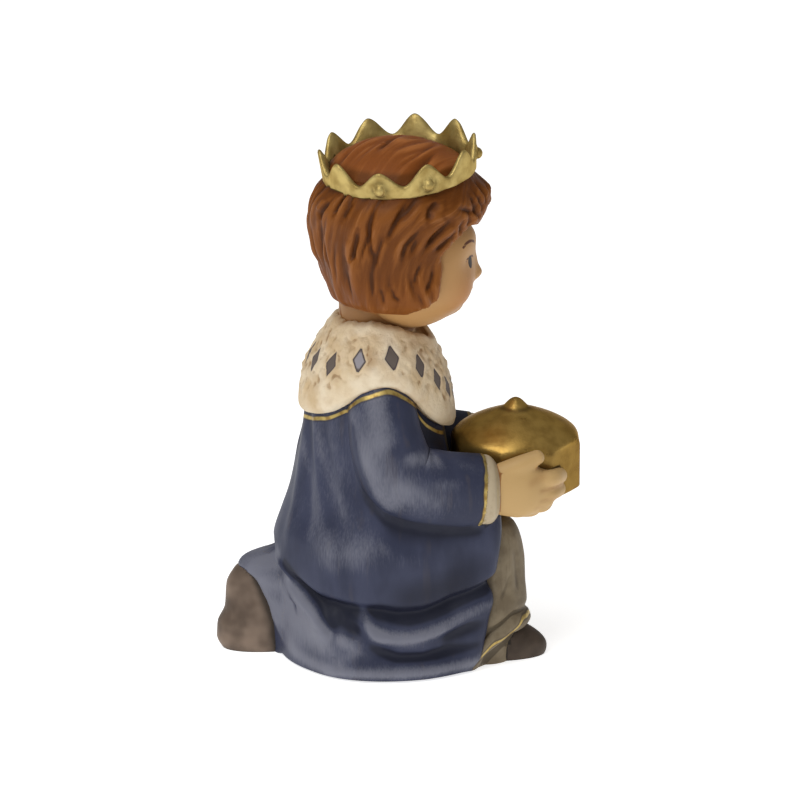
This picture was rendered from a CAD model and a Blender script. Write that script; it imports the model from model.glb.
import math
import random

import bpy
import numpy as np
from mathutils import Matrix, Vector, noise


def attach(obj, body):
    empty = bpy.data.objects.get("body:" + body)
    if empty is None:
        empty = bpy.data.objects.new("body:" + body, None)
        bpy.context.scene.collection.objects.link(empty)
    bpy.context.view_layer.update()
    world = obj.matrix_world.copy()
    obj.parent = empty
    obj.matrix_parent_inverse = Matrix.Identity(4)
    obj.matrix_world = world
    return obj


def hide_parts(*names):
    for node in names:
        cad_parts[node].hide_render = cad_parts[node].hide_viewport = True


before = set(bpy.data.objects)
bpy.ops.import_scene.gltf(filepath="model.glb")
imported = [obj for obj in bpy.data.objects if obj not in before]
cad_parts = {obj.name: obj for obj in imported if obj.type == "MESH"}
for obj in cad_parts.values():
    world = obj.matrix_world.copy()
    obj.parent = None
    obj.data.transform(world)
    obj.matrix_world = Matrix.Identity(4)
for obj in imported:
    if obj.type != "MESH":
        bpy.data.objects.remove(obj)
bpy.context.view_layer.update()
bpy.ops.object.select_all(action="DESELECT")
print("solid loaded")

# Shapes are worked out in millimetres, +Z up: the king faces -Y and his right hand is towards -X.
# Degrees round him run 0 left, 90 back, 180 right, 270 front.
figure = {
    "shift": np.array([0.0, 4.0262, 0.0]),  # from his own axis to the middle of his box
    "belowFloor": -1.5,  # the clay starts under the floor and is ground flat at the end
    "paints": ["cloakBlue", "tunicGrey", "shoeBrown", "furCream", "cuffCream", "skin",
               "hairBrown", "crownGold", "boxGold"],
    # painted marks and their values where there is none: distances in millimetres, then strengths
    "marks": {"lined": 9.0, "trim": 9.0, "mark": 9.0, "line": 9.0, "lips": 9.0, "warm": 0.0, "tone": 0.0,
              "combed": 0.0},
}
belowFloor = figure["belowFloor"]


# shape helpers
def bell(distance, width):
    return np.exp(-((distance / width) ** 2))


def smooth(x, low, high):
    t = np.clip((x - low) / (high - low), 0, 1)
    return t * t * (3 - 2 * t)


def mixed(a, b, share):
    return a + (b - a) * share


def curveValue(xs, ys, x):
    # a smooth curve through the knots that never overshoots; ys may hold one row of values per knot
    x = np.clip(np.asarray(x, float), xs[0], xs[-1])
    ys = np.stack([np.broadcast_to(np.asarray(y, float), x.shape) for y in ys])
    width = np.diff(xs)
    grade = np.diff(ys, axis=0) / width.reshape(-1, *([1] * x.ndim))
    before = np.concatenate([grade[:1], grade])
    after = np.concatenate([grade, grade[-1:]])
    total = np.where(before * after > 0, before + after, 1)
    slope = np.where(before * after > 0, 2 * before * after / total, 0)
    i = np.clip(np.searchsorted(xs, x, side="left") - 1, 0, len(width) - 1)
    pick = lambda table, k: np.take_along_axis(table, k[None], axis=0)[0]
    w = width[i]
    t = (x - xs[i]) / w
    g = pick(grade, i)
    leave = (pick(slope, i) - g) * t * (1 - t) ** 2
    arrive = (pick(slope, i + 1) - g) * t * t * (1 - t)
    return pick(ys, i) + w * (g * t + leave - arrive)


def through(*knots):
    xs = np.array([k[0] for k in knots], float)
    return lambda x: curveValue(xs, [k[1] for k in knots], x)


def aroundThrough(*knots):
    xs = np.array([knots[-1][0] - 360, *[k[0] for k in knots], knots[0][0] + 360], float)
    ys = [knots[-1][1], *[k[1] for k in knots], knots[0][1]]
    return lambda turn: curveValue(xs, ys, np.mod(turn, 360))


def ovalRadius(turn, right, left, front, back, squareness=2.0):
    c, s = np.cos(np.radians(turn)), np.sin(np.radians(turn))
    across = np.abs(c) / np.where(c < 0, right, left)
    along = np.abs(s) / np.where(s < 0, front, back)
    return (across**squareness + along**squareness) ** (-1 / squareness)


def degreesFrom(at, turn):
    # from -180 to 180
    return (turn - at + 180) % 360 - 180


def countedFrom(low, turn):
    # degrees that run on past 360 instead of starting again at nought
    return np.where(turn < low, turn + 360, turn)


def matchedTurn(turn):
    # a place on his left side becomes the matching one on his right
    return np.where((turn > 90) & (turn < 270), turn, np.mod(180 - turn, 360))


def wavy(turn, *waves):
    # the unevenness of a hand-made line; each wave is (height, waves to the round, start in degrees)
    return sum(height * np.sin(np.radians(turn * count + start)) for height, count, start in waves)


def nearLine(line, x, z):
    # how far each place is from a line of [x, z], on which side, and how far along the line
    nearest = np.full_like(z, 1e9)
    side, share = np.zeros_like(z), np.zeros_like(z)
    for i, ((x0, z0), (x1, z1)) in enumerate(zip(line, line[1:])):
        dx, dz = x1 - x0, z1 - z0
        px, pz = x - x0, z - z0
        t = np.clip((px * dx + pz * dz) / (dx * dx + dz * dz), 0, 1)
        away = np.hypot(px - t * dx, pz - t * dz)
        side = np.where(away < nearest, px * dz - pz * dx, side)
        share = np.where(away < nearest, (i + t) / (len(line) - 1), share)
        nearest = np.minimum(nearest, away)
    return nearest, side, share


def nearPath(path, turn, z, radius):
    # the same for a path of [degrees, z] round an upright axis
    line = [(math.radians(degrees) * radius, level) for degrees, level in path]
    return nearLine(line, np.radians(turn) * radius, z)


def foldsAt(folds, turn, z, radius):
    # each fold is (path, raise, width, [width on its other side]) and fades at its ends; the tone
    # is above nought where ridges are brushed light and below it where valleys are washed dark
    height, tone = np.zeros_like(z), np.zeros_like(z)
    for path, lift, width, *other in folds:
        nearest, side, share = nearPath(path, turn, z, radius)
        spread = np.where(side > 0, other[0] if other else width, width)
        fade = 0.25 + 0.75 * smooth(np.minimum(share, 1 - share), 0, 0.3)
        height = height + lift * bell(nearest, spread) * fade
        tone = tone + 0.7 * np.clip(lift, -1, 1) * bell(nearest, 0.9 * spread) * fade
    return height, tone


def grain(points, size, seed):
    # soft noise from -1 to 1, worked out at each point
    start = Vector((seed * 7.1, seed * 3.7, seed * 1.9))
    return np.array([noise.noise(Vector(p) / size + start) for p in points])


def ground(points):
    return points * 0.001 + figure["shift"] * 0.001


# reading and writing meshes
def readOut(rows, name, kind=np.float32, each=1):
    # one value, or a few, of every vertex, edge, corner or face
    values = np.zeros(len(rows) * each, kind)
    rows.foreach_get(name, values)
    return values


def coordinates(mesh):
    return readOut(mesh.vertices, "co", each=3).reshape(-1, 3).astype(float)


def moveTo(mesh, places):
    mesh.vertices.foreach_set("co", places.astype(np.float32).ravel())
    mesh.update()


def addMark(mesh, name, values):
    attribute = mesh.attributes.get(name) or mesh.attributes.new(name, "FLOAT", "POINT")
    attribute.data.foreach_set("value", np.asarray(values, np.float32))


# clay pieces
clay = []


def asPiece(shape, name, paint, points, marks=None):
    # gives a new primitive its worked-out points, its paint and its marks
    shape.name = shape.data.name = name
    mesh = shape.data
    for material in figure["paints"]:
        mesh.materials.append(bpy.data.materials[material])
    index = figure["paints"].index(paint)
    mesh.polygons.foreach_set("material_index", np.full(len(mesh.polygons), index, np.int32))
    for mark, unset in figure["marks"].items():
        addMark(mesh, mark, (marks or {}).get(mark, np.full(len(points), unset)))
    moveTo(mesh, ground(points))
    clay.append(shape)
    return shape


def ball(name, paint, around, along, place):
    # a UV sphere whose vertices go where place(degrees, row) says; rows 0 and `along` are its poles
    bpy.ops.mesh.primitive_uv_sphere_add(segments=around, ring_count=along, radius=1, calc_uvs=False)
    shape = bpy.context.object
    co = coordinates(shape.data)
    row = np.round((0.5 + np.arcsin(np.clip(co[:, 2], -1, 1)) / math.pi) * along)
    turn = np.degrees(np.arctan2(co[:, 1], co[:, 0])) % 360
    turn = np.round(turn / 360 * around) % around * 360 / around
    points, marks = place(turn, row)
    return asPiece(shape, name, paint, points, marks)


def mirrored(shape, name, move):
    copy = shape.copy()
    copy.data = shape.data.copy()
    bpy.context.collection.objects.link(copy)
    copy.name = copy.data.name = name
    copy.data.flip_normals()
    moveTo(copy.data, coordinates(copy.data) * (-1, 1, 1) + np.array(move) * 0.001)
    clay.append(copy)


def onAxis(x, y, turn, reach, z):
    return np.stack([x + reach * np.cos(np.radians(turn)), y + reach * np.sin(np.radians(turn)), z], axis=1)


def atPole(row, last):
    return (row == 0) | (row == last)


def stacked(name, paint, x, y, heights, around, outline):
    heights = np.array(heights, float)
    last = len(heights) - 1

    def place(turn, row):
        z = heights[row.astype(int)]
        reach = np.where(atPole(row, last), 0, outline(turn, z))
        return onAxis(x, y, turn, reach, z), None

    ball(name, paint, around, last, place)


def pathCurve(points, samples=48):
    # a smooth curve through the points that makes no loops, and how far along it each sample is
    pts = [np.array(p, float) for p in points]
    pts = [2 * pts[0] - pts[1], *pts, 2 * pts[-1] - pts[-2]]
    t = np.linspace(0, 1, samples, endpoint=False)[:, None]
    line = []
    for p0, p1, p2, p3 in zip(pts, pts[1:], pts[2:], pts[3:]):
        d0, d1, d2 = (np.linalg.norm(b - a) ** 0.5 for a, b in ((p0, p1), (p1, p2), (p2, p3)))
        m1 = ((p1 - p0) / d0 - (p2 - p0) / (d0 + d1) + (p2 - p1) / d1) * d1
        m2 = ((p2 - p1) / d1 - (p3 - p1) / (d1 + d2) + (p3 - p2) / d2) * d1
        line.append(p1 + m1 * t + (3 * (p2 - p1) - 2 * m1 - m2) * t**2 + (2 * (p1 - p2) + m1 + m2) * t**3)
    line = np.concatenate([*line, pts[-2][None]])
    run = np.concatenate([[0], np.cumsum(np.linalg.norm(np.diff(line, axis=0), axis=1))])
    return line, run


def limbFrame(line, run, t):
    # the places on a limb's curve, and the directions ahead, sideways and across there
    at = lambda s: np.stack([np.interp(s * run[-1], run, line[:, k]) for k in range(3)], axis=1)
    ahead = at(np.minimum(t + 0.02, 1)) - at(np.maximum(t - 0.02, 0))
    ahead /= np.linalg.norm(ahead, axis=1)[:, None]
    sideways = np.array([-1.0, 0, 0]) + ahead * ahead[:, :1]
    sideways /= np.linalg.norm(sideways, axis=1)[:, None]
    return at(t), ahead, sideways, np.cross(ahead, sideways)


def limb(name, paint, path, wide, deep, grid, caps=7, bulge=None, swell=None, marks=None):
    # a round-ended limb along a path; wide is its half width sideways, deep its half depth, caps
    # the rows in each rounded end and bulge how far its far end rounds out
    around, along = grid
    line, run = pathCurve(path)
    widths, depths = through(*wide), through(*deep)

    def place(turn, row):
        startCap = np.maximum(0, caps - row) / caps
        endCap = np.maximum(0, row - (along - caps)) / caps
        t = np.clip((row - caps) / (along - 2 * caps), 0, 1)
        middle, ahead, sideways, across = limbFrame(line, run, t)
        angle = np.maximum(startCap, endCap) * math.pi / 2
        narrowed = np.cos(angle)
        half = np.minimum(widths(t), depths(t))
        dome = np.where(endCap > 0, bulge or half, -half) * np.sin(angle)
        more = swell(turn, t) if swell else 0
        c, s = np.cos(np.radians(turn)), np.sin(np.radians(turn))
        points = middle + ahead * dome[:, None]
        points = points + sideways * (c * (widths(t) + more) * narrowed)[:, None]
        points = points + across * (s * (depths(t) + more) * narrowed)[:, None]
        left = (1 - t) * run[-1]
        return points, marks(turn, left, narrowed, points) if marks else None

    return ball(name, paint, around, along, place)


# the cloak
cloak = {
    "topZ": 58.5,
    "grid": (224, 112),  # faces round him and upwards
    "fullPart": 9.6,  # height of the full part over the crease
    "rowShares": np.array([0, 0.008, 0.34, 0.58, 1.0]),  # rows up to floor, crease, full part and top
    "edge": {"right": 232.5, "left": 307.5, "foldedIn": 240, "foldedInLeft": 300},
    "open": (236, 305),  # between these degrees it has no crease
    "crease": aroundThrough([0, 12.8], [30, 13.6], [60, 16], [90, 20.4], [106, 17.6], [126, 15.8],
                            [140, 14.2], [155, 13.8], [178, 13.2], [190, 12.6], [200, 12.7], [212, 13.8],
                            [222, 15.2], [234, 17.2], [270, 17], [306, 16], [330, 13.4]),
    "creaseDepth": 1.7,
    "creaseWidths": (1.1, 1.7),  # above its middle and below it
    "washWidths": (1.5, 2.0),  # the same for the dark wash in it
    "paleWash": (0.45, 4.0, 3.8),  # strength, height over the crease, width
    "foldRadius": 18.5, "foldTone": 0.6,
    "edgeSpread": 24,  # over how many degrees the cloth beside the edge goes along with it
    "back": through([-1.5, 18], [5, 18.2], [13, 18], [17, 18.8], [20.1, 19.3], [23, 18.85], [26.8, 17.6],
                    [30.6, 16.3], [34.4, 15.3], [38.2, 14.5], [42, 13.7], [46, 13.2], [52, 12.4], [58.5, 8]),
    "backRight": through([-1.5, 17.9], [2, 18.2], [5, 18], [12, 17.5], [18, 18.3], [24, 18.2], [30, 16.6],
                         [38, 14.8], [45, 13.7], [52, 12.6], [58.5, 8]),
    "right": through([-1.5, 18.6], [0.6, 19], [2, 19.4], [4.6, 18.8], [8.6, 18.7], [12.6, 18.3], [18, 18.9],
                     [22, 19], [27, 17.9], [32, 16.2], [38, 14.8], [45, 13.7], [52, 12.6], [58.5, 8]),
    "thigh": through([-1.5, 20], [0.6, 20.3], [2, 20.6], [5, 20.1], [10, 20.3], [15, 20.2], [20, 20.8],
                     [25, 20.8], [30, 19.4], [35, 15], [45, 12.6], [52, 12], [58.5, 8]),
    "edgeReach": through([-1.5, 21], [0, 21.2], [2.6, 22.5], [7.3, 23.3], [12, 24], [19, 24.7], [26, 25.4],
                         [29.5, 25], [33, 20], [38, 14], [45, 12.4], [52, 11.8], [58.5, 8]),
    "foldedIn": through([-1.5, 13.4], [12, 15], [26, 15], [33, 12.6], [38, 11.2], [52, 10.8], [58.5, 7]),
    "leftEdge": through([-1.5, 18.8], [2, 19.4], [10, 18.8], [18, 18.4], [26, 16.6], [34, 14], [45, 12.2],
                        [58.5, 8]),
    "left": through([-1.5, 18.2], [2, 18.8], [5, 18], [9, 17.9], [13, 17.4], [18, 18], [24, 17.6],
                    [30, 16.2], [38, 14.6], [45, 13.6], [52, 12.6], [58.5, 8]),
    "edgeDegrees": through([0, 229.4], [2.6, 231.5], [7.3, 233], [12, 234.3], [19, 235.4], [29.5, 238],
                           [40, 244]),
    "folds": [
        # the right side: the tail's ridge, the swag over the low valley, and soft falls from the shoulder
        ([[92, 20.5], [108, 18.4], [118, 16.4], [127, 14.3], [139, 11.8], [146, 8.8], [150, 5]],
         1.9, 0.7, 3.2),
        ([[146, 8.6], [158, 8.2], [167, 7.6], [176, 6.4]], 0.9, 0.8, 2.6),
        ([[150, 13.4], [156, 11.4], [161, 9.9], [168, 9.2]], -0.9, 1.3),
        ([[166, 13.7], [168, 11.2], [174, 9.1], [186, 8.4], [201, 8.8], [214, 9.8], [222, 11.6],
          [231, 13.2]], 1.05, 1.35),
        ([[172, 7.2], [178, 5.6], [188, 4.6], [202, 4.4], [215, 5.2], [229, 6]], -1.0, 1.2),
        ([[208, 6.6], [220, 8.4], [230, 10]], -0.8, 1.7),
        ([[118, 12.6], [119, 10.8]], -0.5, 1.2),
        ([[140, 1.8], [160, 1.9], [200, 1.9], [226, 2.1]], 0.35, 1.0),
        ([[92, 52], [104, 40], [112, 30], [116, 20]], 0.4, 1.7),
        ([[104, 52], [118, 40], [128, 30], [132, 22]], -0.45, 1.6),
        ([[112, 52], [128, 40], [140, 30], [146, 22]], 0.45, 1.6),
        ([[122, 52], [140, 38], [150, 30], [156, 22]], -0.45, 1.6),
        ([[176, 27], [188, 24], [205, 22.5]], 0.25, 2.4),
        # the left side
        ([[390, 12.5], [372, 8.6], [350, 8.4], [328, 10]], 0.9, 1.4),
        ([[396, 8], [372, 5], [345, 4.6], [318, 5.6]], -0.9, 1.3),
        ([[436, 19.6], [424, 15], [412, 9], [400, 6]], 0.8, 3.0, 0.9),
        ([[424, 44], [416, 34], [412, 26]], -0.5, 1.7),
        ([[442, 44], [434, 34], [428, 26]], 0.35, 1.5),
        ([[372, 44], [366, 34], [360, 26]], 0.3, 1.8),
        ([[356, 30], [340, 22], [322, 17]], -0.4, 2.2),
    ],
}


# dry-brushed lights and dark washes over the cloak, tail and sleeves: (strength, width, path)
brush = {
    "radius": 18,
    "strokes": [
        # the tail and the fall beside it
        (1.1, 2.2, [[84, 17.5], [104, 20]]), (0.9, 2.8, [[92, 15], [108, 14], [118, 11.5]]),
        (1.3, 0.9, [[98, 18.4], [108, 17.4], [127, 14.5], [139, 12], [147, 8.6]]),
        (0.9, 2.8, [[100, 8.5], [123, 9.5], [138, 8.5]]),
        (0.4, 1.2, [[96, 13], [99, 8], [120, 3], [138, 2]]),
        (0.6, 2.6, [[120, 5.5], [147, 5.5]]), (0.5, 1.4, [[108, 3.5], [126, 2], [147, 1.5]]),
        (-1.0, 0.9, [[117, 12.6], [120, 10.4]]),
        (-1.3, 1.0, [[113, 19.2], [127, 16], [139, 13.5], [149, 10.4]]),
        # the swag and its hem
        (0.45, 1.2, [[157, 8], [163, 5.5], [155, 3.5]]), (0.85, 1.2, [[147, 1.5], [175, 2], [228, 2]]),
        (1.0, 0.9, [[167, 13.5], [171, 11], [178, 9]]),
        (0.75, 1.4, [[178, 9], [195, 8.5], [209, 10], [228, 13.5]]),
        (-0.7, 2.0, [[149, 12], [163, 11]]),
        (-1.1, 1.3, [[177, 13.5], [194, 12.2], [213, 13], [231, 16]]),
        (-0.7, 1.6, [[219, 8.5], [231, 9.5]]),
        (-0.8, 1.0, [[172, 7], [186, 4.7], [209, 4.3], [228, 5.4]]),
        # the full part above them
        (0.3, 2.0, [[171, 26], [179, 26]]), (0.45, 3.5, [[150, 23], [163, 24]]),
        (-0.5, 4.6, [[196, 15.5], [226, 18], [232, 22]]), (-0.5, 2.4, [[186, 28], [207, 26.5]]),
        # falls from the shoulder
        (0.4, 1.2, [[108, 40.5], [123, 36], [131, 30], [131, 26]]),
        (0.3, 1.4, [[127, 43.5], [141, 37], [153, 31]]), (0.3, 4.5, [[130, 48], [143, 38], [149, 27]]),
        (-0.35, 1.1, [[123, 43], [137, 35], [145, 29]]),
        # the sleeve, its elbow and the hollow behind it
        (0.5, 1.6, [[161, 49.5], [167, 43.5], [173, 37], [181, 33]]), (0.95, 2.8, [[175, 53], [177, 46]]),
        (0.6, 2.8, [[173, 42], [181, 37.5], [186, 35.5]]), (0.7, 1.4, [[194, 42.5], [208, 41.5]]),
        (0.5, 2.6, [[192, 37], [204, 34.5]]), (0.4, 1.3, [[216, 40.5], [227, 40]]),
        (0.3, 1.0, [[207, 37.5], [214, 37.5]]), (-0.4, 1.2, [[186, 44], [193, 44.7]]),
        (-0.4, 1.0, [[215, 42], [216, 39.5]]), (-0.4, 2.0, [[188, 51.5], [196, 47]]),
        (-0.8, 1.2, [[158, 47], [164, 40], [171, 34], [181, 30.5], [198, 29], [226, 27.5]]),
        (-0.8, 2.6, [[214, 46.5], [235, 41]]),
    ],
    "leftShare": 0.6,  # how much the left side is brushed near the floor
    "bothSidesFrom": (20, 26),  # from here up it is brushed as much as the right one
}


def brushwork(points):
    turn = np.degrees(np.arctan2(points[:, 1], points[:, 0])) % 360
    z = points[:, 2]
    onRight = matchedTurn(turn)
    tone = sum(strength * bell(nearPath(path, onRight, z, brush["radius"])[0], width)
               for strength, width, path in brush["strokes"])
    onLeft = (turn < 90) | (turn > 270)
    return tone * np.where(onLeft, mixed(brush["leftShare"], 1, smooth(z, *brush["bothSidesFrom"])), 1)


def cloakOutline(turn, z):
    right, backRight, left = cloak["right"](z), cloak["backRight"](z), cloak["left"](z)
    edge, foldedIn = cloak["edge"], cloak["foldedIn"](z)
    at = aroundThrough([0, left], [45, left - 0.4], [90, cloak["back"](z)], [132, backRight],
                       [158, (backRight + 2 * right) / 3], [182, right], [214, cloak["thigh"](z)],
                       [edge["right"], cloak["edgeReach"](z)], [edge["foldedIn"], foldedIn],
                       [edge["foldedInLeft"], foldedIn - 2], [edge["left"], cloak["leftEdge"](z)])
    creased = np.where((turn > cloak["open"][0]) & (turn < cloak["open"][1]), 0, 1)
    away = z - cloak["crease"](turn)
    crease = cloak["creaseDepth"] * creased * bell(away, np.where(away > 0, *cloak["creaseWidths"]))
    strength, level, width = cloak["paleWash"]
    wash = bell(away, np.where(away > 0, *cloak["washWidths"])) + strength * bell(away - level, width)
    height, tone = foldsAt(cloak["folds"], countedFrom(80, turn), z, cloak["foldRadius"])
    return at(turn) - crease + height, tone - wash * creased


def cloakLevels(turn, row, rows):
    # rows are close together at the floor and follow the crease, so that it stays sharp
    shares, crease = cloak["rowShares"], cloak["crease"](turn)
    share = (row - 1) / (rows - 2)
    i = np.clip(np.searchsorted(shares, share, side="right") - 1, 0, 3)
    t = (share - shares[i]) / (shares[i + 1] - shares[i])
    levels = [belowFloor, 0, crease, crease + cloak["fullPart"], cloak["topZ"]]
    levels = np.stack([np.broadcast_to(np.asarray(level, float), turn.shape) for level in levels])
    low = np.take_along_axis(levels, i[None], 0)[0]
    high = np.take_along_axis(levels, i[None] + 1, 0)[0]
    return np.clip(low + (high - low) * t, belowFloor, cloak["topZ"])


def makeCloak():
    around, along = cloak["grid"]
    right = cloak["edge"]["right"]

    def place(turn, row):
        z = cloakLevels(turn, row, along)
        reach, tone = cloakOutline(turn, z)
        reach = np.where(atPole(row, along), 0, reach)
        angle = turn + (cloak["edgeDegrees"](z) - right) * bell(turn - right, cloak["edgeSpread"])
        points = onAxis(0, 0, angle, reach, z)
        return points, {"lined": neckline(points), "tone": cloak["foldTone"] * tone + brushwork(points)}

    ball("cloakClay", "cloakBlue", around, along, place)


tail = {
    "heel": (2.5, 12.0),
    "grid": (96, 56),
    "topZ": 18.5, "fullZ": 16.8,
    "foldRadius": 11, "foldTone": 0.5,
    "lean": (13, 17, 0.15, 9),  # its top slopes down to the back: from and to which height, slope, middle
    "back": through([-1.5, 8.6], [4, 7.6], [8, 8], [11.5, 9.2], [14.2, 11], [15.6, 12.9], [16.6, 13.3],
                    [17.6, 12.6], [18.4, 11]),
    "backRight": through([-1.5, 7.9], [5, 8.2], [8.8, 8.6], [12.5, 9.8], [15, 10.6], [16.6, 9.8], [18.4, 6]),
    "flank": through([-1.5, 8.4], [5, 8.9], [10, 9.3], [14, 9.7], [16.4, 8.6], [18.4, 5]),
    "flankRight": through([-1.5, 9.4], [5, 9.9], [10, 10.3], [14, 10.2], [16.4, 8.6], [18.4, 5]),
    "right": through([-1.5, 12], [8, 11.8], [12, 11.4], [15, 10], [18.4, 5]),
    "left": through([-1.5, 10.6], [8, 9], [14, 7], [18.4, 4]),
    "folds": [
        ([[98, 15.6], [114, 14], [119, 11], [126, 7.6], [142, 4], [160, 2]], 0.6, 1.2),
        ([[148, 16], [158, 15.4], [170, 13], [180, 9.6]], 0.5, 1.2),
        ([[40, 13], [30, 8], [20, 3]], 0.5, 1.4),
        ([[62, 12], [58, 6], [50, 1]], -0.4, 1.4),
    ],
}


def makeTail():
    around, along = tail["grid"]
    x, y = tail["heel"]
    low, high, slope, middle = tail["lean"]

    def place(turn, row):
        levels = [belowFloor, belowFloor, 0, tail["fullZ"], tail["topZ"]]
        z = np.interp(row, [0, 1, 2, along - 8, along], levels)
        at = aroundThrough([0, tail["left"](z)], [45, tail["left"](z)], [90, tail["back"](z)],
                           [118, tail["backRight"](z)], [146, tail["flank"](z)],
                           [161, tail["flankRight"](z)], [176, tail["right"](z)], [230, 8], [300, 7])
        height, tone = foldsAt(tail["folds"], turn, z, tail["foldRadius"])
        reach = np.where(atPole(row, along), 0, at(turn) + height)
        behind = reach * np.sin(np.radians(turn))
        z = z + smooth(z, low, high) * slope * (middle - behind)
        points = onAxis(x, y, turn, reach, z)
        return points, {"tone": tail["foldTone"] * tone + brushwork(points)}

    ball("tailClay", "cloakBlue", around, along, place)


# tunic, knees and shin
tunic = {
    "front": through([-1.5, 12.8], [8, 12], [18, 11.2], [27, 10.4], [33, 7.4], [40, 5.4], [50, 4]),
    "side": through([-1.5, 11], [10, 10.8], [22, 10.2], [40, 8.5], [50, 7]),
    "pleats": [([[268, 26], [262, 12], [258, 0]], 0.8, 1.3), ([[282, 22], [286, 8], [288, 0]], 0.7, 1.3),
               ([[275, 30], [274, 12], [272, 0]], -0.5, 1.0), ([[250, 20], [246, 8], [242, 0]], 0.5, 1.2),
               ([[296, 20], [300, 8], [302, 0]], 0.5, 1.2)],
    "hem": through([150, -1], [160, 0.4], [171, 2.4], [197, 4.6], [228, 6.2], [270, 6.1], [312, 5],
                   [343, 2.4], [380, -1]),
    "goldLine": through([150, 0.4], [171, 3.1], [188, 4.9], [205, 6], [228, 7.7], [244, 8.7], [270, 8.9],
                        [312, 7.6], [343, 4.6], [380, 1]),
    "overHem": through([-3, 4.4], [-0.4, 5.6], [0.1, 7], [1.6, 8], [3, 7.6], [3.7, 6.9], [5.2, 7.2],
                       [9, 6.7], [14.6, 6.5], [17.4, 6], [19.9, 4.9], [21.1, 3.2]),
    "pleatRadius": 12,
    "panelAt": (0.5, -7), "panelBack": 7.0, "panelTop": 47.5, "panelSquareness": 2.4,
    "panelGrid": (84, 44), "kneeGrid": (56, 30), "shinGrid": (112, 66),
    "knee": [[6.5, 2, 16], [7.2, -6, 9], [7.4, -10.6, 5]],
    "kneeWide": [[0, 7.2], [1, 6.6]],
    "kneeDeep": [[0, 7.4], [1, 6.8]],
    "shinAt": (-6.8, -19.3),
    "shinRise": 21.1,  # from the hem to the top of the knee
    "shinTop": 27.2,
    "creaseRadius": 7,
    # creases over the shin, by degrees and height over the hem
    "creases": [([[176, 3.2], [206, 3.4], [248, 4]], -0.25, 0.8),
                ([[240, 6], [236, 12], [232, 17]], -0.3, 1.0),
                ([[262, 5], [264, 11], [262, 16]], 0.3, 1.1),
                ([[196, 7], [214, 10], [226, 12]], -0.25, 0.9)],
    "wobble": [(0.16, 6.3, 0), (0.1, 14.1, 0)],  # of the gold line
}


def makePanel():
    around, rows = tunic["panelGrid"]
    top = tunic["panelTop"]

    def outline(turn, z):
        side = tunic["side"](z)
        reach = ovalRadius(turn, side, side, tunic["front"](z), tunic["panelBack"], tunic["panelSquareness"])
        return reach + foldsAt(tunic["pleats"], turn, z, tunic["pleatRadius"])[0]

    heights = [belowFloor, *np.linspace(belowFloor, top, rows), top + 0.5]
    stacked("tunicPanel", "tunicGrey", *tunic["panelAt"], heights, around, outline)


def makeShin():
    around, along = tunic["shinGrid"]
    x, y = tunic["shinAt"]
    top, full = tunic["shinTop"], tunic["shinRise"]

    def place(turn, row):
        pole = atPole(row, along)
        rise = np.interp(row, [0, 1, 8, 30, along - 4, along - 1, along], [-3, -3, 0, 6, 19.9, full, full])
        hem = tunic["hem"](countedFrom(20, turn))
        level = hem + rise * mixed(1, (top - hem) / full, np.clip(rise / full, 0, 1))
        z = np.where(pole, top + 0.4, np.maximum(belowFloor, level))
        z = np.where(row <= 1, belowFloor, z)
        nearCoat = np.maximum(0, -np.cos(np.radians(turn)))
        behind = 1 + 0.2 * smooth(np.sin(np.radians(turn)), 0.1, 0.5)
        creases, tone = foldsAt(tunic["creases"], turn, rise, tunic["creaseRadius"])
        out = (tunic["overHem"](rise) + creases) * behind * (1 - 0.13 * nearCoat)
        overGold = z - tunic["goldLine"](countedFrom(20, turn)) - wavy(turn, *tunic["wobble"])
        points = onAxis(x, y, turn, np.where(pole, 0, out), z)
        return points, {"lined": np.where(pole, 9, overGold), "tone": tone}

    ball("shinClay", "tunicGrey", around, along, place)


def makeTunic():
    makePanel()
    limb("leftKnee", "tunicGrey", tunic["knee"], tunic["kneeWide"], tunic["kneeDeep"], tunic["kneeGrid"])
    makeShin()


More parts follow.
